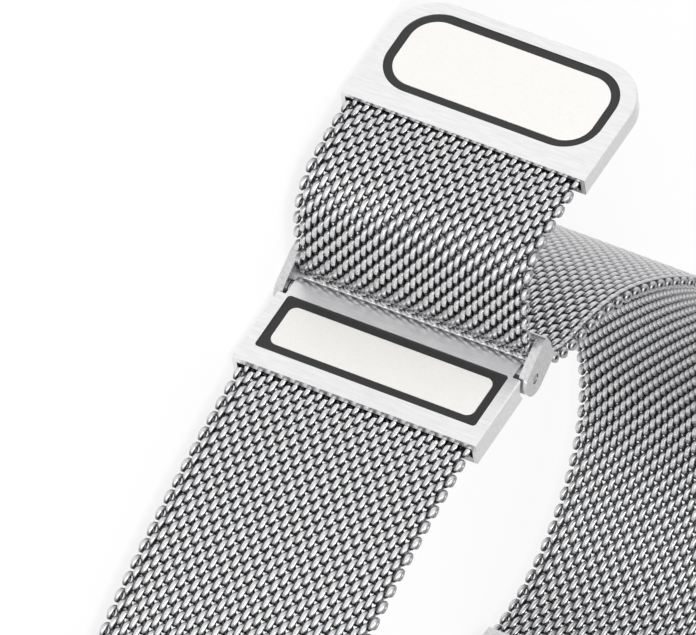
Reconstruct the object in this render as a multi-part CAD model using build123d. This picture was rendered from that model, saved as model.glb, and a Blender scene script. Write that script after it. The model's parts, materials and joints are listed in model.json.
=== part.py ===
from build123d import *
import math
import os

# Milanese mesh watch band, standing on its side edge, in millimetres.
# X runs along the clasp, Y points from the clasp towards the wrist, Z runs across the band.
# The origin is the middle of the clasp block's wrist side.

# Driving sizes of the mesh and the shells that hold its ends
shell_width = 23.0
side_wall = 0.4
mesh_side_clearance = 0.1
mesh_width = shell_width - 2 * (side_wall + mesh_side_clearance)
mesh_thickness = 1.0
seat_clearance = 0.05
fit_clearance = 0.02
running_clearance = 0.05

# Driving sizes of the clasp block
block_length = 9.05
block_thickness = 2.3
block_wall = 0.6
block_back_plate_thickness = 0.6
block_edge_round = 0.15

# Driving sizes of the loop and its pins
loop_tilt = 24.0
loop_proud = 0.45
arm_thickness = 0.8
arm_side_gap = 0.45
loop_width = shell_width + 2 * loop_proud
knuckle_width = loop_width - 2 * (arm_thickness + arm_side_gap)
arm_height = 3.1
arm_end_slant = 0.6
bar_reach = 3.05
bar_thickness = 0.7
bar_height = 2.2
loop_corner_round = 0.36
pin_radius = 0.4
pin_depth = 2.0
pin_recess = 0.08
pin_shoulder_radius = 0.75
arm_notch_clearance = 0.3
strap_turn_reach = 1.5
tail_turn_reach = 2.0

# Driving sizes of the end cap
cap_length = 12.2
cap_thickness = 1.8
cap_wall = 0.36
cap_corner_radius = 4.4
cap_edge_round = 0.15

# Inlays of the block and the cap: a black tray whose rim shows round a metal plate
block_inlay_mouth_margin = 1.8
block_inlay_end_margin = 1.45
block_inlay_side_margin = 1.1
block_inlay_radius = 0.3
block_plate_radius = 0.75
block_notch_radius = arm_height / 2 + arm_notch_clearance
block_inlay_length = block_length - block_inlay_mouth_margin - block_inlay_end_margin
block_inlay_width = shell_width - 2 * block_inlay_side_margin
block_inlay_middle = block_inlay_mouth_margin + block_inlay_length / 2
cap_inlay_mouth_margin = 2.2
cap_inlay_end_margin = 1.2
cap_inlay_side_margin = 1.4
cap_inlay_corner_inset = 1.1
cap_plate_corner_inset = 2.0
cap_inlay_length = cap_length - cap_inlay_mouth_margin - cap_inlay_end_margin
cap_inlay_width = shell_width - 2 * cap_inlay_side_margin
cap_inlay_radius = cap_corner_radius - cap_inlay_corner_inset
cap_plate_radius = cap_corner_radius - cap_plate_corner_inset
cap_inlay_middle = cap_inlay_mouth_margin + cap_inlay_length / 2
tray_rim = 0.8
tray_recess = 0.12
plate_thickness = 0.5
plate_recess = 0.05

# Magnets under the cap's plate, in one row across the band
magnet_count = 3
magnet_length_share = 0.5
magnet_thickness = 0.7
magnet_gap = 0.8
magnet_row_margin = 2.4
magnet_length = cap_inlay_length * magnet_length_share
magnet_row_width = cap_inlay_width - 2 * magnet_row_margin
magnet_spacing = (magnet_row_width + magnet_gap) / magnet_count
magnet_width = magnet_spacing - magnet_gap

# Sizes of the bars that the mesh's last coils are welded to
weld_bar_length = 0.5
mesh_grip_length = 1.3

# Lengths, turns and radii along the band's middle line
tail_heading = -100.0
tail_root_length = 4.4
tail_bend_radius = 4.7
tail_bend_turn = 66.0
tail_end_radius = 24.4
tail_end_turn = 14.5
long_heading = 118.0
long_rise_radius = 8.4
long_rise_turn = 51.0
long_dip_radius = 22.3
long_dip_turn = 26.0
long_slope_radius = 46.6
long_slope_turn = 19.0
long_side_radius = 57.0
long_side_turn = 32.4
long_corner_radius = 16.5
long_corner_turn = 100.0
long_side_share = 0.35
long_corner_share = 0.3
short_heading = 8.0
short_flat_radius = 100.0
short_flat_turn = 12.0
short_root_share = 0.35
short_round_radius = 30.5
short_round_turn = 143.0
short_round_share = 0.5

# Turns that each hinge place of the mesh leaves room for
strap_turn_range = (-12.0, 12.0)
tail_fold_turn_range = (-76.0, 30.0)
tail_bend_turn_range = (-20.0, 50.0)
flex_turn_range = (-14.0, 14.0)
seat_turn_step = 6.0
seat_reach = 1.6

# Driving sizes of the watch ends and their quick-release spring bars
link_grip_length = 3.0
link_wall = 0.4
link_tube_wall = 0.45
bar_radius = 0.9
bar_wall = 0.25
tip_radius = 0.4
tip_length = 1.0
bar_end_gap = 0.1
bar_end_wall = 0.3
plunger_length = 2.6
plunger_travel = 1.2
lever_radius = 0.3
lever_height = 0.5
lever_from_end = 2.1
lever_slot_clearance = 0.1
spring_wall = 0.2
overrun = 1.0


def point_from(origin, heading, along, aside):
    """A place given by its distance along a heading and to the left of it."""
    angle = math.radians(heading)
    forward = (math.cos(angle), math.sin(angle))
    left = (-forward[1], forward[0])
    return (
        origin[0] + along * forward[0] + aside * left[0],
        origin[1] + along * forward[1] + aside * left[1],
    )


def arc_run(radius, turn):
    """One run of the band's line, as its length and its turn."""
    return (radius * math.radians(abs(turn)), turn)


def run_part(run, share):
    """A share of one run, from its start."""
    return (run[0] * share, run[1] * share)


def run_end(start, heading, length, turn):
    """Where a run of a given length and turn ends."""
    if turn == 0:
        return point_from(start, heading, length, 0)
    radius = length / math.radians(turn)
    centre = point_from(start, heading, 0, radius)
    return point_from(centre, heading + turn, 0, -radius)


def run_face(start, heading, length, turn, half):
    """The side view of one run of mesh, a straight or a curved strip."""
    if turn == 0:
        strip = Rectangle(length, half + half, align=(Align.MIN, Align.CENTER))
        return Pos(start[0], start[1]) * Rot(0, 0, heading) * strip
    radius = length / math.radians(turn)
    centre = point_from(start, heading, 0, radius)
    side = -90 if turn > 0 else 90
    inner = CenterArc(centre, abs(radius) - half, heading + side, turn)
    outer = CenterArc(centre, abs(radius) + half, heading + side, turn)
    ends = [Line(inner @ share, outer @ share) for share in (0, 1)]
    return make_face([inner, outer, *ends])


def strip_face(start, heading, runs, half):
    """The side view of several runs of mesh, one after the other, and where they end."""
    face = None
    for length, turn in runs:
        piece = run_face(start, heading, length, turn, half)
        face = piece if face is None else face + piece
        start = run_end(start, heading, length, turn)
        heading = heading + turn
    return face, start, heading


def nose(place, half):
    """The round end with which a stretch of mesh turns in its neighbour."""
    return Pos(place[0], place[1]) * Circle(half)


def seat(place, heading, turn_range, first_turn=0):
    """The room that the next stretch of mesh sweeps as it turns about a place."""
    half = mesh_thickness / 2 + seat_clearance
    low, high = turn_range
    steps = math.ceil((high - low) / seat_turn_step)
    room = nose(place, half)
    for step in range(steps + 1):
        angle = low + (high - low) * step / steps
        room += run_face(place, heading + angle, seat_reach, first_turn, half)
    return room


def mesh_solid(face):
    """A stretch of mesh across the whole width of the band."""
    return extrude(face, amount=mesh_width / 2, both=True)


def upright(start, heading):
    """Stands a piece drawn lying flat on its side edge, at a place on the band's line."""
    return Pos(start[0], start[1], 0) * Rot(0, 0, heading) * Rot(-90, 0, 0)


def rounded_sheet(length, width, radius, low, high, middle):
    """A flat piece with round corners, between two heights."""
    outline = Pos(middle, 0) * RectangleRounded(length, width, radius)
    return Pos(0, 0, low) * extrude(outline, amount=high - low)


def inlay(length, width, radius, plate_radius, middle, top, bottom):
    """The black tray and the metal plate in it, which lies a little deeper than the shell."""
    tray = rounded_sheet(length - fit_clearance, width - fit_clearance, radius, bottom, top - tray_recess, middle)
    plate_length = length - 2 * tray_rim
    plate_width = width - 2 * tray_rim
    plate_low = top - plate_recess - plate_thickness
    pocket = rounded_sheet(plate_length, plate_width, plate_radius, plate_low, top + overrun, middle)
    plate = rounded_sheet(
        plate_length - fit_clearance,
        plate_width - fit_clearance,
        plate_radius - fit_clearance / 2,
        plate_low,
        top - plate_recess,
        middle,
    )
    plate = fillet(plate.faces().sort_by(Axis.Z)[-1].edges(), plate_recess)
    return tray - pocket, plate


def weld_bar(inner_width, low, high):
    """The steel bar that the mesh's last coil is welded to, inside a shell's mouth."""
    bar = Box(weld_bar_length, inner_width, high - low, align=(Align.MIN, Align.CENTER, Align.MIN))
    return Pos(mesh_grip_length, 0, low) * bar


def block_pieces():
    """The clasp block, drawn lying flat with its mouth at the origin and its face up."""
    top = block_thickness / 2
    side = Rectangle(block_length, block_thickness, align=(Align.MIN, Align.CENTER))
    side += Pos(block_length, 0) * Circle(top)
    body = extrude(Plane.XZ * side, amount=shell_width / 2, both=True)
    long_edges = body.edges().filter_by(Axis.X)
    body = fillet(long_edges, block_edge_round)
    notch_side = Pos(block_length, 0) * Circle(block_notch_radius)
    notch_side += Pos(block_length, 0) * Rectangle(
        block_thickness, block_thickness + overrun, align=(Align.MIN, Align.CENTER)
    )
    notch = extrude(Plane.XZ * notch_side, amount=shell_width, both=True)
    middle_slab = Box(block_length * 2 + overrun, knuckle_width, block_thickness + overrun)
    notch -= Pos(block_length, 0, 0) * middle_slab
    body -= notch
    inner_length = block_length - block_notch_radius - side_wall
    inner_width = shell_width - 2 * side_wall
    cavity_low = -top + block_back_plate_thickness
    cavity = Box(
        inner_length + overrun,
        inner_width,
        block_thickness - block_wall + overrun,
        align=(Align.MAX, Align.CENTER, Align.MAX),
    )
    body -= Pos(inner_length, 0, top - block_wall) * cavity
    body -= rounded_sheet(
        block_inlay_length, block_inlay_width, block_inlay_radius, cavity_low, top + overrun, block_inlay_middle
    )
    bore = extrude(Plane.XZ * (Pos(block_length, 0) * Circle(pin_radius)), amount=shell_width, both=True)
    core = Box(block_length * 2, knuckle_width - 2 * pin_depth, block_thickness)
    body -= bore - Pos(block_length, 0, 0) * core
    back = Box(
        inner_length - fit_clearance,
        inner_width - fit_clearance,
        block_back_plate_thickness,
        align=(Align.MIN, Align.CENTER, Align.MIN),
    )
    back = Pos(0, 0, -top) * back
    tray, plate = inlay(
        block_inlay_length,
        block_inlay_width,
        block_inlay_radius,
        block_plate_radius,
        block_inlay_middle,
        top,
        cavity_low,
    )
    bar = weld_bar(mesh_width, cavity_low, top - block_wall)
    return {
        "block_shell": body,
        "block_back_plate": back,
        "block_inlay_tray": tray,
        "block_face_plate": plate,
        "block_weld_bar": bar,
    }


def hinge_pins():
    """Two pins pressed into the block's knuckle; the loop's arms turn on them."""
    pins = []
    arm_inside = loop_width / 2 - arm_thickness
    for side in (-1, 1):
        inner_end = side * (knuckle_width / 2 - pin_depth)
        outer_end = side * (loop_width / 2 - pin_recess)
        shoulder_end = side * (arm_inside - running_clearance)
        length = abs(outer_end - inner_end)
        pin = Pos(0, 0, (inner_end + outer_end) / 2) * Cylinder(pin_radius, length)
        shoulder_length = abs(shoulder_end) - knuckle_width / 2
        shoulder_middle = side * (knuckle_width / 2 + shoulder_length / 2)
        pins.append(pin + Pos(0, 0, shoulder_middle) * Cylinder(pin_shoulder_radius, shoulder_length))
    return Compound(pins)


def loop_frame():
    """Two arms and a flat crossbar in one piece, drawn along X from the pins' axis."""
    arm_end = bar_reach + bar_thickness / 2
    arm_half = arm_height / 2
    arm = Circle(arm_half)
    arm += make_face(
        Polyline(
            (0, -arm_half),
            (arm_end - arm_end_slant, -arm_half),
            (arm_end, arm_half),
            (0, arm_half),
            close=True,
        )
    )
    frame = extrude(arm, amount=loop_width / 2, both=True)
    frame = fillet(frame.edges().filter_by(Axis.Z), loop_corner_round)
    inner = loop_width - 2 * arm_thickness
    frame -= Box(2 * (arm_end + overrun), arm_height + overrun, inner)
    frame -= Cylinder(pin_radius + running_clearance, loop_width + overrun)
    bar = Pos(bar_reach, 0) * RectangleRounded(bar_thickness, bar_height, bar_thickness / 2 - fit_clearance)
    frame += extrude(bar, amount=loop_width / 2 - arm_thickness / 2, both=True)
    return frame


def loop_place(along, aside):
    """A place in the band's plane, given from the pins' axis in the loop's own directions."""
    return point_from(pin_place, loop_heading, along, aside)


def tail_pieces():
    """The loose tail, from the loop's outer edge to the mouth of the end cap."""
    half = mesh_thickness / 2
    bend_length, bend_turn = arc_run(tail_bend_radius, -tail_bend_turn)
    first = [(tail_root_length, 0), (bend_length / 2, bend_turn / 2)]
    face, bend_place, bend_heading = strip_face(tail_place, tail_heading, first, half)
    seat_turn = -math.degrees(seat_reach / tail_bend_radius)
    root = face + nose(tail_place, half) - seat(bend_place, bend_heading, tail_bend_turn_range, seat_turn)
    end_run = arc_run(tail_end_radius, -tail_end_turn)
    second = [(bend_length / 2, bend_turn / 2), end_run]
    face, mouth, mouth_heading = strip_face(bend_place, bend_heading, second, half)
    grip = run_face(mouth, mouth_heading, mesh_grip_length, 0, half)
    end = face + grip + nose(bend_place, half)
    return {"tail_mesh_root": root, "tail_mesh_end": end}, bend_place, mouth, mouth_heading


def strap_pieces(name, start, heading, runs, turns_at_start):
    """A strap of stretches, each of one run or more, that turn in each other, and the places of its turns."""
    half = mesh_thickness / 2
    faces = {}
    places = []
    for number, stretch in enumerate(runs, start=1):
        face, end_place, end_heading = strip_face(start, heading, stretch, half)
        if places or turns_at_start:
            face += nose(start, half)
        if number < len(runs):
            next_length, next_turn = runs[number][0]
            face -= seat(end_place, end_heading, flex_turn_range, next_turn * seat_reach / next_length)
            places.append(end_place)
        start, heading = end_place, end_heading
        faces[f"{name}_{number}"] = face
    last = f"{name}_{len(runs)}"
    faces[last] += run_face(start, heading, mesh_grip_length, 0, half)
    return faces, places, start, heading


def cap_pieces():
    """The end cap with its magnets, drawn lying flat with its mouth at the origin."""
    top = cap_thickness / 2
    straight = cap_length - cap_corner_radius
    outline = Rectangle(straight, shell_width, align=(Align.MIN, Align.CENTER))
    outline += Pos(cap_length / 2, 0) * RectangleRounded(cap_length, shell_width, cap_corner_radius)
    body = Pos(0, 0, -top) * extrude(outline, amount=cap_thickness)
    rim = body.faces().sort_by(Axis.Z)[-1].edges() + body.faces().sort_by(Axis.Z)[0].edges()
    rim = [edge for edge in rim if edge.center().X > fit_clearance]
    body = fillet(rim, cap_edge_round)
    inner_length = cap_length - side_wall
    inner_width = shell_width - 2 * side_wall
    inner_radius = cap_corner_radius - side_wall
    inner = Rectangle(inner_length - inner_radius, inner_width, align=(Align.MIN, Align.CENTER))
    inner += Pos(inner_length / 2, 0) * RectangleRounded(inner_length, inner_width, inner_radius)
    inner += Rectangle(2 * overrun, inner_width)
    cavity = extrude(inner, amount=cap_thickness - cap_wall + overrun)
    body -= Pos(0, 0, -top - overrun) * cavity
    body -= rounded_sheet(cap_inlay_length, cap_inlay_width, cap_inlay_radius, 0, top + overrun, cap_inlay_middle)
    cover = Rectangle(inner_length - inner_radius, inner_width - fit_clearance, align=(Align.MIN, Align.CENTER))
    cover_middle = (inner_length - fit_clearance) / 2
    cover += Pos(cover_middle, 0) * RectangleRounded(
        inner_length - fit_clearance, inner_width - fit_clearance, inner_radius
    )
    back = Pos(0, 0, -top) * extrude(cover, amount=cap_wall)
    cavity_low = -top + cap_wall
    tray, plate = inlay(
        cap_inlay_length,
        cap_inlay_width,
        cap_inlay_radius,
        cap_plate_radius,
        cap_inlay_middle,
        top,
        cavity_low,
    )
    magnets = []
    for number in range(magnet_count):
        across = (number - (magnet_count - 1) / 2) * magnet_spacing
        magnet = Box(magnet_length, magnet_width, magnet_thickness, align=(Align.CENTER, Align.CENTER, Align.MIN))
        magnet = Pos(cap_inlay_middle, across, cavity_low) * magnet
        magnets.append(magnet)
        tray -= magnet
    return {
        "cap_shell": body,
        "cap_back_cover": back,
        "cap_inlay_tray": tray,
        "cap_face_plate": plate,
        "cap_magnets": Compound(magnets),
        "cap_weld_bar": weld_bar(mesh_width, cavity_low, top - cap_wall),
    }


def watch_end(name, place, heading, wrist_side):
    """The steel end of a strap and its quick-release spring bar, with the lever on the wrist side.

    The lever's stem in the barrel's slot is what keeps the sprung plunger in the barrel.
    """
    half = mesh_width / 2
    tube_radius = bar_radius + running_clearance + link_tube_wall
    tube_along = link_grip_length + tube_radius - link_tube_wall
    outer = mesh_thickness / 2 + link_wall
    grip = Rectangle(tube_along, 2 * outer, align=(Align.MIN, Align.CENTER))
    throat = Rectangle(mesh_grip_length + overrun, mesh_thickness + fit_clearance, align=(Align.MIN, Align.CENTER))
    section = grip - Pos(-overrun, 0) * throat + Pos(tube_along, 0) * Circle(tube_radius)
    section -= Pos(tube_along, 0) * Circle(bar_radius + running_clearance)
    link = extrude(section, amount=half, both=True)
    bar_top = half - bar_end_gap
    bar_bottom = -half + bar_end_gap
    barrel = Pos(0, 0, (bar_top + bar_bottom) / 2) * Cylinder(bar_radius, bar_top - bar_bottom)
    hollow_radius = bar_radius - bar_wall
    hollow_bottom = bar_bottom + bar_end_wall
    hollow_length = bar_top - hollow_bottom + overrun
    hollow = Cylinder(hollow_radius, hollow_length, align=(Align.CENTER, Align.CENTER, Align.MIN))
    barrel -= Pos(0, 0, hollow_bottom) * hollow
    tip = Cylinder(tip_radius, tip_length + bar_end_gap, align=(Align.CENTER, Align.CENTER, Align.MIN))
    barrel += Pos(0, 0, bar_bottom) * Rot(180, 0, 0) * tip
    plunger_bottom = bar_top - plunger_length
    shank_radius = hollow_radius - running_clearance
    shank = Cylinder(shank_radius, plunger_length, align=(Align.CENTER, Align.CENTER, Align.MIN))
    plunger = Pos(0, 0, plunger_bottom) * shank
    plunger += Pos(0, 0, bar_top) * tip
    lever_z = half - lever_from_end
    lever_reach = tube_radius + lever_height
    stem = Cylinder(lever_radius, lever_reach, align=(Align.CENTER, Align.CENTER, Align.MIN))
    lever = Pos(0, 0, lever_z) * Rot(-90 * wrist_side, 0, 0) * stem
    plunger -= lever
    slot_half = lever_radius + lever_slot_clearance
    slot_height = plunger_travel + 2 * slot_half
    slot = Box(2 * slot_half, lever_reach, slot_height, align=(Align.CENTER, Align.MIN, Align.MAX))
    slot = Rot(0, 0, 0 if wrist_side > 0 else 180) * slot
    slot = Pos(0, 0, lever_z + slot_half) * slot
    barrel -= slot
    link -= Pos(tube_along, 0, 0) * slot
    spring_bottom = hollow_bottom
    spring_length = plunger_bottom - spring_bottom
    spring_outside = shank_radius
    spring = Cylinder(spring_outside, spring_length) - Cylinder(spring_outside - spring_wall, spring_length)
    spring = Pos(0, 0, spring_bottom + spring_length / 2) * spring
    put = Pos(place[0], place[1], 0) * Rot(0, 0, heading)
    along = Pos(tube_along, 0, 0)
    pieces = {
        f"{name}_end_link": put * link,
        f"{name}_bar_barrel": put * along * barrel,
        f"{name}_bar_spring": put * along * spring,
        f"{name}_bar_plunger": put * along * plunger,
        f"{name}_bar_lever": put * along * lever,
    }
    return pieces, point_from(place, heading, tube_along, 0)


# Places that the pieces share
block_middle_y = -block_thickness / 2
block_mouth = (block_inlay_middle, block_middle_y)
block_heading = 180.0
pin_place = point_from(block_mouth, block_heading, block_length, 0)
loop_heading = block_heading + loop_tilt
slot_reach = bar_reach - bar_thickness / 2 - mesh_thickness / 2 - seat_clearance
strap_place = loop_place(slot_reach, -strap_turn_reach)
tail_place = loop_place(slot_reach, tail_turn_reach)
half_mesh = mesh_thickness / 2

parts = {}
for piece_name, piece in block_pieces().items():
    parts[piece_name] = upright(block_mouth, block_heading) * piece
parts["hinge_pins"] = Pos(pin_place[0], pin_place[1], 0) * hinge_pins()
parts["loop_frame"] = Pos(pin_place[0], pin_place[1], 0) * Rot(0, 0, loop_heading) * loop_frame()

# The stretch of mesh in the loop's slot, with the tail turning on one end and the strap on the other
slot_length = strap_turn_reach + tail_turn_reach
slot_face = run_face(strap_place, loop_heading + 90, slot_length, 0, half_mesh)
rise_turn = math.degrees(seat_reach / long_rise_radius)
slot_face -= seat(strap_place, long_heading, strap_turn_range, rise_turn)
slot_face -= seat(tail_place, tail_heading, tail_fold_turn_range)
parts["loop_mesh"] = mesh_solid(slot_face)

tail_faces, tail_bend_place, cap_mouth, cap_heading = tail_pieces()
for piece_name, face in tail_faces.items():
    parts[piece_name] = mesh_solid(face)
for piece_name, piece in cap_pieces().items():
    parts[piece_name] = upright(cap_mouth, cap_heading) * piece

long_rise = arc_run(long_rise_radius, long_rise_turn)
long_dip = arc_run(long_dip_radius, -long_dip_turn)
long_slope = arc_run(long_slope_radius, -long_slope_turn)
long_side = arc_run(long_side_radius, -long_side_turn)
long_corner = arc_run(long_corner_radius, -long_corner_turn)
long_runs = [
    [long_rise, long_dip],
    [long_slope, run_part(long_side, long_side_share)],
    [run_part(long_side, 1 - long_side_share), run_part(long_corner, long_corner_share)],
    [run_part(long_corner, 1 - long_corner_share)],
]
long_faces, long_places, long_end, long_end_heading = strap_pieces(
    "long_mesh", strap_place, long_heading, long_runs, turns_at_start=True
)

short_flat = arc_run(short_flat_radius, short_flat_turn)
short_round = arc_run(short_round_radius, short_round_turn)
short_runs = [
    [run_part(short_flat, short_root_share)],
    [run_part(short_flat, 1 - short_root_share)],
    [run_part(short_round, short_round_share)],
    [run_part(short_round, 1 - short_round_share)],
]
short_faces, short_places, short_end, short_end_heading = strap_pieces(
    "short_mesh", block_mouth, short_heading, short_runs, turns_at_start=False
)
short_faces["short_mesh_1"] += run_face(block_mouth, block_heading, mesh_grip_length, 0, half_mesh)

for piece_name, face in {**long_faces, **short_faces}.items():
    parts[piece_name] = mesh_solid(face)

long_end_pieces, long_bar_place = watch_end("long", long_end, long_end_heading, wrist_side=-1)
short_end_pieces, short_bar_place = watch_end("short", short_end, short_end_heading, wrist_side=1)
parts.update(long_end_pieces)
parts.update(short_end_pieces)

os.makedirs("parts", exist_ok=True)
for piece_name, piece in parts.items():
    export_step(piece, f"parts/{piece_name}.step")

places = {
    "pin": pin_place,
    "strap_turn": strap_place,
    "tail_fold": tail_place,
    "tail_bend": tail_bend_place,
    "long_flex": long_places,
    "short_flex": short_places,
    "long_bar": long_bar_place,
    "short_bar": short_bar_place,
}
for place_name, place in places.items():
    print(place_name, place)
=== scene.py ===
import json
import math

import bmesh
import bpy
import numpy as np
from mathutils import Matrix, Vector


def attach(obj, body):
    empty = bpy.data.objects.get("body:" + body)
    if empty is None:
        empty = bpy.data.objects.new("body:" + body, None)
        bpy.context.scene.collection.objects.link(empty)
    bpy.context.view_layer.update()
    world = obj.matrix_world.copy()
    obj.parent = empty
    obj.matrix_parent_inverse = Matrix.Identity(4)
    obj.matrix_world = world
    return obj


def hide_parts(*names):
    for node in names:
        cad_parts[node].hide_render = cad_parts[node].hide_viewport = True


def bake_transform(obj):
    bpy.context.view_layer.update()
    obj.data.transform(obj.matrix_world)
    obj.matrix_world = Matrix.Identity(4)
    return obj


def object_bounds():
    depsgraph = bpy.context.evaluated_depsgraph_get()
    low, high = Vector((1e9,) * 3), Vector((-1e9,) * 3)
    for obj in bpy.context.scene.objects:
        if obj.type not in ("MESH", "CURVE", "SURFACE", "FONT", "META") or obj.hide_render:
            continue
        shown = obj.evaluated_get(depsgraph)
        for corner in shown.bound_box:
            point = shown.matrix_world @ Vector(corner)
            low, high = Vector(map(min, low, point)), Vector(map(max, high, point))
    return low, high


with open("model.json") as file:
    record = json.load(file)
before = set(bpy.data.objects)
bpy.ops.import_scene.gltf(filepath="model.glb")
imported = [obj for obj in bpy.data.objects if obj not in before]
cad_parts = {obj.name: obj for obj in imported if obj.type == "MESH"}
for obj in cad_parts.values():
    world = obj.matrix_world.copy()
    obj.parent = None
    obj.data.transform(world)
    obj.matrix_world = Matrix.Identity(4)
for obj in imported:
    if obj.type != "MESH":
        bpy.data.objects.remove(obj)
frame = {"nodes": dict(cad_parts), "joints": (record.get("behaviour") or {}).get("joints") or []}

cad_box = [list(corner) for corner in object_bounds()]
mm = 0.001

# Camera, at the angle from which the band was photographed.
# The band stands on its side edge, and the camera is rolled, so that the width of the band runs
# across the picture. A long lens a long way off keeps the clasp's sides parallel.
picture_width_px = 696
sensor_width = 36.0
pixels_per_metre = 12235.0
camera_distance = 1.8
camera_sight = 10.0
view_right = Vector((-0.491, 0.1085, 0.864)).normalized()
view_back = Vector((0.5152, -0.7675, 0.3875)).normalized()
view_up = view_back.cross(view_right).normalized()
view_right = view_up.cross(view_back).normalized()
picture_right = -2.97 * mm
picture_up = 4.97 * mm
picture_middle = view_right * picture_right + view_up * picture_up
camera_data = bpy.data.cameras.new("camera")
camera_data.sensor_width = sensor_width
camera_data.lens = sensor_width * pixels_per_metre * camera_distance / picture_width_px
camera_data.clip_end = camera_sight
camera = bpy.data.objects.new("camera", camera_data)
camera_turn = Matrix((view_right, view_up, view_back)).transposed()
camera.matrix_world = Matrix.Translation(picture_middle + view_back * camera_distance) @ camera_turn.to_4x4()
bpy.context.scene.collection.objects.link(camera)
bpy.context.scene.camera = camera


# Shells of the clasp block and of the end cap.
# Each is pressed and milled from stainless steel, blasted and then polished on its face,
# so that it mirrors the room softly and shows only the finest grain along the band's width.
def linear(hex_colour):
    """The linear colour of an sRGB hex value."""
    shares = [int(hex_colour[i:i + 2], 16) / 255 for i in (1, 3, 5)]
    return [c / 12.92 if c <= 0.04045 else ((c + 0.055) / 1.055) ** 2.4 for c in shares] + [1.0]


def add_node(tree, kind, settings=None, inputs=None, links=None):
    """Adds one node: its settings, the values of its inputs, and what is linked to them."""
    node = tree.nodes.new(kind)
    for name, value in (settings or {}).items():
        setattr(node, name, value)
    for name, value in (inputs or {}).items():
        node.inputs[name].default_value = value
    for name, socket in (links or {}).items():
        tree.links.new(socket, node.inputs[name])
    return node


def add_ramp(tree, factor, stops):
    """Turns a factor into a colour, by way of a few positions with their colours."""
    ramp = add_node(tree, "ShaderNodeValToRGB", links={"Fac": factor})
    elements = ramp.color_ramp.elements
    while len(elements) < len(stops):
        elements.new(1.0)
    for element, (position, colour) in zip(elements, stops):
        element.position = position
        element.color = linear(colour)
    return ramp.outputs["Color"]


def new_material(name, colour, metallic, roughness):
    """A material with one surface shader, whose colour and roughness a pattern may then vary."""
    material = bpy.data.materials.new(name)
    material.use_nodes = True
    tree = material.node_tree
    shader = tree.nodes["Principled BSDF"]
    shader.inputs["Base Color"].default_value = linear(colour)
    shader.inputs["Metallic"].default_value = metallic
    shader.inputs["Roughness"].default_value = roughness
    return material, tree, shader


def add_grain(tree, shader, size, stretch, roughnesses, depth):
    """A fine grain on the surface, drawn out along some axes: it varies the roughness and raises a bump."""
    place = add_node(tree, "ShaderNodeTexCoord")
    mapping = add_node(
        tree,
        "ShaderNodeMapping",
        inputs={"Scale": [share / size for share in stretch]},
        links={"Vector": place.outputs["Object"]},
    )
    noise = add_node(
        tree,
        "ShaderNodeTexNoise",
        inputs={"Scale": 1.0, "Detail": grain_detail},
        links={"Vector": mapping.outputs["Vector"]},
    )
    low, high = roughnesses
    rough = add_node(
        tree,
        "ShaderNodeMapRange",
        inputs={"To Min": low, "To Max": high},
        links={"Value": noise.outputs["Fac"]},
    )
    tree.links.new(rough.outputs["Result"], shader.inputs["Roughness"])
    bump = add_node(
        tree,
        "ShaderNodeBump",
        inputs={"Strength": bump_strength, "Distance": depth},
        links={"Height": noise.outputs["Fac"]},
    )
    tree.links.new(bump.outputs["Normal"], shader.inputs["Normal"])
    return noise.outputs["Fac"]


def grained_material(name, colours, metallic, roughnesses, size, stretch, depth):
    """A material whose colour wanders between two shades with the grain of its surface."""
    material, tree, shader = new_material(name, colours[0], metallic, roughnesses[0])
    grain = add_grain(tree, shader, size, stretch, roughnesses, depth)
    tree.links.new(add_ramp(tree, grain, list(zip(grain_shares, colours))), shader.inputs["Base Color"])
    return material


def finish_nodes(material, *names):
    """Gives CAD pieces their finish."""
    for name in names:
        piece = frame["nodes"][name]
        piece.data.materials.clear()
        piece.data.materials.append(material)


grain_detail = 3.0
bump_strength = 0.3
grain_shares = (0.3, 0.7)
even = (1.0, 1.0, 1.0)
across_band = (1.0, 1.0, 0.12)
along_band = (0.06, 0.06, 1.0)
shell_grain_size = 0.25 * mm
shell_grain_depth = 0.001 * mm
polished_steel = grained_material(
    "polished_stainless_steel",
    colours=("#ECECED", "#F8F8F8"),
    metallic=1.0,
    roughnesses=(0.28, 0.38),
    size=shell_grain_size,
    stretch=across_band,
    depth=shell_grain_depth,
)
finish_nodes(polished_steel, "block_shell", "cap_shell")

# Back plate of the block and back cover of the cap.
# They are stamped from sheet steel and closed by a laser weld, brushed along the band.
brush_grain_size = 0.08 * mm
brush_grain_depth = 0.003 * mm
brushed_sheet = grained_material(
    "brushed_stainless_sheet",
    colours=("#B4B4B7", "#D0D0D2"),
    metallic=1.0,
    roughnesses=(0.26, 0.4),
    size=brush_grain_size,
    stretch=along_band,
    depth=brush_grain_depth,
)
finish_nodes(brushed_sheet, "block_back_plate", "cap_back_cover")

# Inlay trays of the block and the cap.
# Moulded black ABS with a fine spark-eroded grain, of which only the rim round the plate shows.
spark_grain_size = 0.12 * mm
spark_grain_depth = 0.01 * mm
black_abs = grained_material(
    "moulded_black_abs",
    colours=("#181819", "#222223"),
    metallic=0.0,
    roughnesses=(0.4, 0.55),
    size=spark_grain_size,
    stretch=even,
    depth=spark_grain_depth,
)
finish_nodes(black_abs, "block_inlay_tray", "cap_inlay_tray")

# Inlay plates, bare and unmarked.
# Cut from aluminium sheet, bead-blasted very fine and clear anodised, so they scatter the light evenly:
# a silver that looks almost white.
blast_grain_size = 0.1 * mm
blast_grain_depth = 0.001 * mm
anodised_plate = grained_material(
    "clear_anodised_aluminium",
    colours=("#E6E4E1", "#EDEBE8"),
    metallic=0.35,
    roughnesses=(0.45, 0.55),
    size=blast_grain_size,
    stretch=even,
    depth=blast_grain_depth,
)
finish_nodes(anodised_plate, "block_face_plate", "cap_face_plate")

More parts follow.
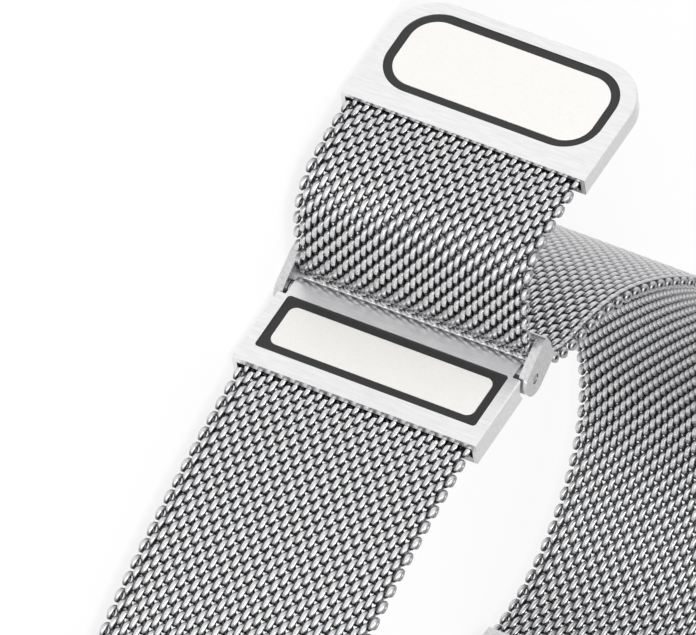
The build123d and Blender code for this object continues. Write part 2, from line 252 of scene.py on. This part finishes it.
# Magnets in the cap, and the bars to which the mesh's last coils are welded.
# The magnets are pressed neodymium under nickel plate, and the bars are plain drawn steel.
plating_grain_size = 0.4 * mm
plating_grain_depth = 0.002 * mm
nickel_plate = grained_material(
    "nickel_plate",
    colours=("#BEB9AE", "#D0CBC1"),
    metallic=1.0,
    roughnesses=(0.14, 0.24),
    size=plating_grain_size,
    stretch=even,
    depth=plating_grain_depth,
)
finish_nodes(nickel_plate, "cap_magnets")
drawing_grain_size = 0.1 * mm
drawing_grain_depth = 0.003 * mm
drawn_steel = grained_material(
    "drawn_steel",
    colours=("#A6A6A9", "#C2C2C4"),
    metallic=1.0,
    roughnesses=(0.22, 0.36),
    size=drawing_grain_size,
    stretch=across_band,
    depth=drawing_grain_depth,
)
finish_nodes(drawn_steel, "block_weld_bar", "cap_weld_bar")

# Loop and hinge pins.
# The loop is bent from flat bar, welded at the crossbar and tumbled to a satin polish.
# The pins are turned, pressed into the block and left as turned.
tumbling_grain_size = 0.3 * mm
tumbling_grain_depth = 0.002 * mm
tumbled_steel = grained_material(
    "tumbled_steel",
    colours=("#CECED0", "#E2E2E3"),
    metallic=1.0,
    roughnesses=(0.2, 0.34),
    size=tumbling_grain_size,
    stretch=even,
    depth=tumbling_grain_depth,
)
finish_nodes(tumbled_steel, "loop_frame")
turning_grain_size = 0.12 * mm
turning_grain_depth = 0.003 * mm
turned_steel = grained_material(
    "turned_steel",
    colours=("#9E9EA2", "#BDBDC0"),
    metallic=1.0,
    roughnesses=(0.24, 0.38),
    size=turning_grain_size,
    stretch=across_band,
    depth=turning_grain_depth,
)
finish_nodes(turned_steel, "hinge_pins")

# Woven steel mesh of both straps and of the tail.
# Coils of bright drawn stainless wire run across the band, each wound through the next, half a turn on.
# Rolling has flattened the wire, and at the band's edges every coil is closed to a ring.
mesh_width = 22.0 * mm
wire_height = 0.4 * mm
wire_spread = 1.35
ring_wire_share = 0.8
ring_width_share = 0.7
coil_width = 1.64 * mm
coil_height = 1.04 * mm
row_spacing = 0.77 * mm
turns_across = 18
strand_lean = 1.1
strand_ease = 0.25
steps_per_turn = 12
wire_side_detail = 1
# The edge rings are painted as light as a point this far up a crown.
edge_ring_painted_light = 0.85
# Colours of the wire's painted shade, from the recesses (dark) to the crowns (light).
painted_shade_stops = ((0.0, "#5C5C5E"), (0.45, "#848486"), (0.7, "#B6B6B8"), (0.95, "#E0E0E1"))
turn_length = (mesh_width - wire_height * wire_spread) / (turns_across + 0.5)
joint_places = {joint["name"]: Vector(joint["pos_m"][:2]) for joint in frame["joints"] if "pos_m" in joint}


def coil_mesh():
    """One coil across the band, whose strands run nearly along the band and step aside where they turn."""
    half_width = (coil_width - wire_height) / 2
    half_height = (coil_height - wire_height) / 2
    curve = bpy.data.curves.new("coil", "CURVE")
    curve.dimensions = "3D"
    curve.bevel_depth = wire_height / 2
    curve.bevel_resolution = wire_side_detail
    curve.use_fill_caps = True
    spline = curve.splines.new("POLY")
    spline.points.add((turns_across + 1) * steps_per_turn + steps_per_turn // 2)
    wound_from = -math.pi / 2
    wound_to = wound_from + math.tau * turns_across
    for number, point in enumerate(spline.points):
        angle = math.tau * (number - steps_per_turn) / steps_per_turn
        wound = min(max(angle, wound_from), wound_to)
        across = wound + strand_lean / 2 * math.sin(2 * wound) + strand_ease / 4 * math.sin(4 * wound)
        aside = turn_length * ((wound_from + wound_to) / 2 - across) / math.tau
        in_ring = angle != wound
        along = half_width * math.cos(angle) * (ring_width_share if in_ring else 1.0)
        point.co = (along, half_height * math.sin(angle), aside / wire_spread, 1.0)
        point.radius = ring_wire_share if in_ring else 1.0
    holder = bpy.data.objects.new("coil", curve)
    bpy.context.scene.collection.objects.link(holder)
    mesh = bpy.data.meshes.new_from_object(holder)
    bpy.data.objects.remove(holder)
    mesh.transform(Matrix.Diagonal((1.0, 1.0, wire_spread, 1.0)))
    return mesh


def run_step(length, turn, share):
    """How far along and aside a share of a run leads, seen from its start."""
    along, turned = length * share, turn * share
    if turn == 0:
        return Vector((along, 0.0))
    radius = length / turn
    return Vector((radius * math.sin(turned), radius * (1 - math.cos(turned))))


def walk(start, heading, runs):
    """The rows along the band's line, each with its place, heading and distance, and where the line ends."""
    rows = []
    travelled = 0.0
    next_row = row_spacing / 2
    for length, turn in runs:
        ahead = Matrix.Rotation(heading, 2)
        while next_row <= travelled + length:
            share = (next_row - travelled) / length
            rows.append((start + ahead @ run_step(length, turn, share), heading + turn * share, next_row))
            next_row += row_spacing
        start = start + ahead @ run_step(length, turn, 1)
        heading += turn
        travelled += length
    return rows, start, heading


def arc_run(radius, degrees):
    """One run of the band's line, as its length and its turn to the left."""
    turn = math.radians(degrees)
    return radius * abs(turn), turn


def run_part(run, share):
    """A share of one run."""
    return run[0] * share, run[1] * share


coil = coil_mesh()
coil_points = np.zeros(len(coil.vertices) * 3)
coil.vertices.foreach_get("co", coil_points)
# How high each point sits on its coil, raised on the edge rings: the mask of the wire's painted shade.
painted_shade_mask = np.abs(coil_points.reshape(-1, 3)[:, 1]) / (coil_height / 2)
from_middle = np.abs(coil_points.reshape(-1, 3)[:, 2])
edge_shares = np.clip(1 - (from_middle.max() - from_middle) / wire_height, 0, 1)
painted_shade_mask = np.maximum(painted_shade_mask, edge_ring_painted_light * edge_shares)

# The wire's base colour carries painted shade. It is light on the crowns and on the rings at the edges,
# and dark in the recesses between the coils, where shade falls.
wire_roughnesses = (0.18, 0.32)
wire_grain_size = 0.15 * mm
wire_grain_depth = 0.001 * mm
mesh_wire, tree, shader = new_material(
    "bright_drawn_stainless_wire_painted_shade",
    colour="#DCDCDD",
    metallic=1.0,
    roughness=wire_roughnesses[0],
)
add_grain(tree, shader, wire_grain_size, even, wire_roughnesses, wire_grain_depth)
# The painted shade: the mask is read back and turned into the wire's colour.
painted_shade_share = add_node(tree, "ShaderNodeAttribute", {"attribute_name": "painted_shade_share"})
tree.links.new(add_ramp(tree, painted_shade_share.outputs["Fac"], painted_shade_stops), shader.inputs["Base Color"])


def weave(name, rows, first_row):
    """A stretch of mesh: one coil for each row, every second one half a turn further on."""
    work = bmesh.new()
    for number, (place, heading, travelled) in enumerate(rows, start=first_row):
        first_vert = len(work.verts)
        work.from_mesh(coil)
        work.verts.ensure_lookup_table()
        aside = turn_length / 4 * (1 if number % 2 else -1)
        put = Matrix.Translation((place.x, place.y, aside)) @ Matrix.Rotation(heading, 4, "Z")
        bmesh.ops.transform(work, matrix=put, verts=work.verts[first_vert:])
    for face in work.faces:
        face.smooth = True
    mesh = bpy.data.meshes.new(name)
    work.to_mesh(mesh)
    work.free()
    # The mask of the painted shade, once for every coil.
    shares = mesh.attributes.new("painted_shade_share", "FLOAT", "POINT")
    shares.data.foreach_set("value", np.tile(painted_shade_mask, len(rows)).astype(np.float32))
    mesh.materials.append(mesh_wire)
    piece = bpy.data.objects.new(name, mesh)
    bpy.context.scene.collection.objects.link(piece)
    return piece


def share_out(label, rows, stretches, bends):
    """Makes the pieces of a strap: stiff ones on each body, and ones over each joint, which are put on no
    body.
    """
    cuts = []
    for joint_distance, reach, body_before, body_after in bends:
        cuts.append((joint_distance - reach, joint_distance + reach, body_before, body_after))
    number = 0
    start = 0.0
    for index, (body, nodes) in enumerate(stretches):
        end = cuts[index][0] if index < len(cuts) else rows[-1][2] + row_spacing
        stiff = [row for row in rows if start <= row[2] < end]
        if stiff:
            piece = weave(f"{label}_weave_{index + 1}", stiff, number)
            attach(piece, body)
            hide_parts(*nodes)
            number += len(stiff)
        if index < len(cuts):
            low, high, before, after = cuts[index]
            bending = [row for row in rows if low <= row[2] < high]
            piece = weave(f"{label}_bend_{index + 1}", bending, number)
            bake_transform(piece)
            if not stiff:
                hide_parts(*nodes)
            number += len(bending)
            start = high


# Short strap, from inside the block's mouth to its watch end.
# It leaves the block nearly straight and then goes round the wrist; the block grips its first coils.
grip_length = 1.3 * mm
bend_reach = 4.0 * mm
block_mouth_x = 4.7 * mm
block_middle_y = -1.15 * mm
block_mouth = Vector((block_mouth_x, block_middle_y))
short_heading = math.radians(8.0)
short_flat_radius = 100.0 * mm
short_flat_turn = 12.0
short_round_radius = 30.5 * mm
short_round_turn = 143.0
short_flat = arc_run(short_flat_radius, short_flat_turn)
short_root_share = 0.35
short_round = arc_run(short_round_radius, short_round_turn)
short_round_share = 0.5
short_runs = [
    (grip_length, 0.0),
    run_part(short_flat, short_root_share),
    run_part(short_flat, 1 - short_root_share),
    run_part(short_round, short_round_share),
    run_part(short_round, 1 - short_round_share),
    (grip_length, 0.0),
]
short_start = block_mouth - Matrix.Rotation(short_heading, 2) @ Vector((grip_length, 0.0))
short_rows = walk(short_start, short_heading, short_runs)[0]
short_bends = [sum(run[0] for run in short_runs[:count]) for count in (2, 3, 4)]
share_out(
    "short",
    short_rows,
    [
        ("clasp_block", ["short_mesh_1"]),
        ("short_strap_1", ["short_mesh_2"]),
        ("short_strap_2", ["short_mesh_3"]),
        ("short_strap_end", ["short_mesh_4"]),
    ],
    [
        (short_bends[0], bend_reach, "clasp_block", "short_strap_1"),
        (short_bends[1], bend_reach, "short_strap_1", "short_strap_2"),
        (short_bends[2], bend_reach, "short_strap_2", "short_strap_end"),
    ],
)

# Tail, the turn round the loop's crossbar, and the long strap: one length of mesh on the real band.
# It leaves the cap, bends up to the loop, goes round the crossbar and rises over it in a flat S before
# it goes round the wrist. The cap grips its first coils.
tail_heading = math.radians(-100.0)
tail_root_length = 4.4 * mm
tail_bend_radius = 4.7 * mm
tail_bend_turn = -66.0
tail_end_radius = 24.4 * mm
tail_end_turn = -14.5
tail_root = (tail_root_length, 0.0)
tail_half_bend = run_part(arc_run(tail_bend_radius, tail_bend_turn), 0.5)
tail_end = arc_run(tail_end_radius, tail_end_turn)
tail_runs = [tail_root, tail_half_bend, tail_half_bend, tail_end, (grip_length, 0.0)]
cap_place, cap_heading = walk(joint_places["tail_fold"], tail_heading, tail_runs)[1:]

long_heading = math.radians(118.0)
rise_radius = 8.4 * mm
rise_turn = 51.0
dip_radius = 22.3 * mm
dip_turn = -26.0
slope_radius = 46.6 * mm
slope_turn = -19.0
side_radius = 57.0 * mm
side_turn = -32.4
end_corner_radius = 16.5 * mm
end_corner_turn = -100.0
long_rise = arc_run(rise_radius, rise_turn)
long_dip = arc_run(dip_radius, dip_turn)
long_slope = arc_run(slope_radius, slope_turn)
long_side = arc_run(side_radius, side_turn)
long_corner = arc_run(end_corner_radius, end_corner_turn)
long_side_share = 0.35
long_corner_share = 0.3

# Where the line turns sharply at the loop, its corners are rounded.
fold_corner_radius = 5.0 * mm
turn_corner_radius = 2.7 * mm


def corner(heading_before, heading_after, radius):
    """The arc that rounds a corner of the line, and how much of the line it takes on each side."""
    turn = math.remainder(heading_after - heading_before, math.tau)
    return (radius * abs(turn), turn), radius * math.tan(abs(turn) / 2)


# The mesh lies loose in the loop's slot: it leaves it a little nearer to the block, and a short straight
# run leads it back to the curve of the rise.
slot_slack = 0.3 * mm
slot_line = (joint_places["strap_turn"] - joint_places["tail_fold"]).normalized()
slot_end = joint_places["strap_turn"] + Vector((slot_line.y, -slot_line.x)) * slot_slack
slot = slot_end - joint_places["tail_fold"]
slot_heading = math.atan2(slot.y, slot.x)
rise_middle = joint_places["strap_turn"] + Matrix.Rotation(long_heading, 2) @ Vector((0.0, rise_radius))
slack = slot_end - rise_middle
slack_length = math.sqrt(slack.length ** 2 - rise_radius ** 2)
rise_heading = math.atan2(slack.y, slack.x) + math.pi / 2 + math.acos(rise_radius / slack.length)
rise_left = long_heading + long_rise[1] - rise_heading
fold_corner, fold_share = corner(tail_heading + math.pi, slot_heading, fold_corner_radius)
turn_corner, turn_share = corner(slot_heading, rise_heading, turn_corner_radius)
line_runs = [(length, -turn) for length, turn in reversed(tail_runs)]
line_runs[-1] = (tail_root_length - fold_share, 0.0)
line_runs += [
    fold_corner,
    (slot.length - fold_share - turn_share, 0.0),
    turn_corner,
    (slack_length - turn_share, 0.0),
    (rise_radius * rise_left, rise_left),
    long_dip,
    long_slope,
    run_part(long_side, long_side_share),
    run_part(long_side, 1 - long_side_share),
    run_part(long_corner, long_corner_share),
    run_part(long_corner, 1 - long_corner_share),
    (grip_length, 0.0),
]
line_rows = walk(cap_place, cap_heading + math.pi, line_runs)[0]
run_ends = [sum(run[0] for run in line_runs[:count + 1]) for count in range(len(line_runs))]
tail_bend_reach = 2.4 * mm
fold_reach = 1.6 * mm
turn_reach = 1.2 * mm
share_out(
    "long",
    line_rows,
    [
        ("end_cap", ["tail_mesh_end"]),
        ("tail_root", ["tail_mesh_root"]),
        ("loop", ["loop_mesh"]),
        ("long_strap_1", ["long_mesh_1"]),
        ("long_strap_2", ["long_mesh_2"]),
        ("long_strap_3", ["long_mesh_3"]),
        ("long_strap_end", ["long_mesh_4"]),
    ],
    [
        (run_ends[2], tail_bend_reach, "end_cap", "tail_root"),
        (run_ends[4] + fold_corner[0] / 2, fold_reach, "tail_root", "loop"),
        (run_ends[6] + turn_corner[0] / 2, turn_reach, "loop", "long_strap_1"),
        (run_ends[10], bend_reach, "long_strap_1", "long_strap_2"),
        (run_ends[12], bend_reach, "long_strap_2", "long_strap_3"),
        (run_ends[14], bend_reach, "long_strap_3", "long_strap_end"),
    ],
)
bpy.data.meshes.remove(coil)

# Watch ends: the links, and the quick-release spring bars in them.
# A link is folded from sheet steel round the last coils and round the bar; the bars are turned.
finish_nodes(tumbled_steel, "long_end_link", "short_end_link")
for side in ("long", "short"):
    finish_nodes(turned_steel, f"{side}_bar_barrel", f"{side}_bar_spring", f"{side}_bar_plunger",
                 f"{side}_bar_lever")

# Studio: a white paper floor under the band, a white surround, dimmer on one side, and two soft lamps.
# The paper glows to the camera and in reflections, so it is white all over, and it still takes a faint
# shadow of the band.
floor_half = 3.0
floor_glow_share = 0.8
surround_light = 1.0
dark_side = (-0.52, 0.77, 0.39)
dark_side_light = 0.7
floor_z = cad_box[0][2]
work = bmesh.new()
bmesh.ops.create_grid(work, x_segments=1, y_segments=1, size=floor_half)
bmesh.ops.translate(work, vec=(0.0, 0.0, floor_z), verts=work.verts)
floor_mesh = bpy.data.meshes.new("floor")
work.to_mesh(floor_mesh)
work.free()
floor = bpy.data.objects.new("floor", floor_mesh)
bpy.context.scene.collection.objects.link(floor)
floor_paper, tree, shader = new_material("white_paper", colour="#F6F6F6", metallic=0.0, roughness=0.9)
rays = add_node(tree, "ShaderNodeLightPath")
seen = add_node(
    tree,
    "ShaderNodeMath",
    {"operation": "MAXIMUM"},
    links={0: rays.outputs["Is Camera Ray"], 1: rays.outputs["Is Glossy Ray"]},
)
glow_share = add_node(
    tree,
    "ShaderNodeMath",
    {"operation": "MULTIPLY"},
    inputs={1: floor_glow_share},
    links={0: seen.outputs["Value"]},
)
glow = add_node(tree, "ShaderNodeEmission", inputs={"Color": linear("#FFFFFF"), "Strength": 1.0})
paper = add_node(
    tree,
    "ShaderNodeMixShader",
    links={0: glow_share.outputs["Value"], 1: shader.outputs["BSDF"], 2: glow.outputs["Emission"]},
)
tree.links.new(paper.outputs["Shader"], tree.nodes["Material Output"].inputs["Surface"])
floor_mesh.materials.append(floor_paper)

world = bpy.data.worlds.new("studio")
world.use_nodes = True
tree = world.node_tree
rays = add_node(tree, "ShaderNodeLightPath")
direction = add_node(tree, "ShaderNodeTexCoord")
facing_dark = add_node(
    tree,
    "ShaderNodeVectorMath",
    {"operation": "DOT_PRODUCT"},
    inputs={1: dark_side},
    links={0: direction.outputs["Generated"]},
)
room = add_node(
    tree,
    "ShaderNodeMapRange",
    inputs={"From Min": 0.0, "From Max": 1.0, "To Min": surround_light, "To Max": dark_side_light},
    links={"Value": facing_dark.outputs["Value"]},
)
strength = add_node(
    tree,
    "ShaderNodeMath",
    {"operation": "MAXIMUM"},
    links={0: room.outputs["Result"], 1: rays.outputs["Is Camera Ray"]},
)
tree.nodes["Background"].inputs["Color"].default_value = linear("#FFFFFF")
tree.links.new(strength.outputs["Value"], tree.nodes["Background"].inputs["Strength"])
bpy.context.scene.world = world


def add_lamp(name, place, size, power):
    """A square soft lamp that faces the clasp."""
    data = bpy.data.lights.new(name, "AREA")
    data.shape = "SQUARE"
    data.size = size
    data.energy = power
    lamp = bpy.data.objects.new(name, data)
    lamp.location = place
    lamp.rotation_euler = place.to_track_quat("Z", "Y").to_euler()
    bpy.context.scene.collection.objects.link(lamp)


key_place = Vector((0.12, -0.3, 0.5))
side_place = Vector((0.45, -0.3, 0.15))
lamp_size = 0.35
key_power = 1.2
side_power = 0.8
add_lamp("key_lamp", key_place, lamp_size, key_power)
add_lamp("side_lamp", side_place, lamp_size, side_power)
bpy.context.scene.view_settings.view_transform = "Standard"
